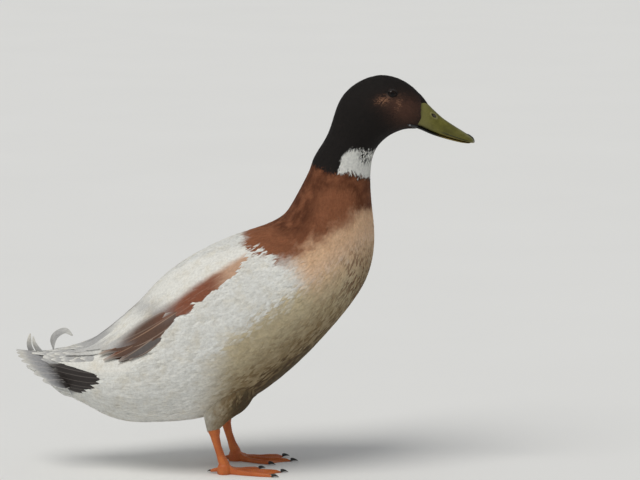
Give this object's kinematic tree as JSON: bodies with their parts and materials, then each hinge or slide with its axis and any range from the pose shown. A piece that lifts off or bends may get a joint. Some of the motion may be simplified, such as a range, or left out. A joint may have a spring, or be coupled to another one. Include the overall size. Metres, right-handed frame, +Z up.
{
  "type": "duck model",
  "caption": "Standing farmyard drake with a dark head, white collar, chestnut mantle and pale body, life size, as a still museum model.",
  "frame": {"origin": "middle of the bird's box in plan, on the floor its soles stand on", "axes": "+X the way the bird faces, +Y its left side, +Z up"},
  "size_m": [0.4771, 0.158, 0.413],
  "materials": {
    "head_feathers": "short velvety feathers, near black with a brown cheek",
    "neck_feathers": "soft chestnut feathers under a white collar",
    "body_feathers": "soft cream to white feathers, tan on the breast",
    "wing_feathers": "firm white and rust vanes",
    "tail_feathers": "firm grey and white vanes",
    "eye": "wet dark brown",
    "bill": "olive skin over horn, satin",
    "bill_nail": "black horn",
    "leg_skin": "orange scaled skin",
    "claw": "dark horn"
  },
  "bodies": {
    "root": {"head": "head_feathers", "neck": "neck_feathers", "trunk": "body_feathers", "thigh_left": "body_feathers", "thigh_right": "body_feathers", "wing_left": "wing_feathers", "wing_right": "wing_feathers", "tail": "tail_feathers", "tail_curl_1": "tail_feathers", "tail_curl_2": "tail_feathers", "tail_curl_3": "tail_feathers", "eye_left": "eye", "eye_right": "eye", "bill_upper": "bill", "bill_lower": "bill", "bill_nail": "bill_nail", "shank_left": "leg_skin", "shank_right": "leg_skin", "foot_left": "leg_skin", "foot_right": "leg_skin", "claw_left_hind": "claw", "claw_left_inner": "claw", "claw_left_middle": "claw", "claw_left_outer": "claw", "claw_right_hind": "claw", "claw_right_inner": "claw", "claw_right_middle": "claw", "claw_right_outer": "claw"}
  },
  "joints": []
}
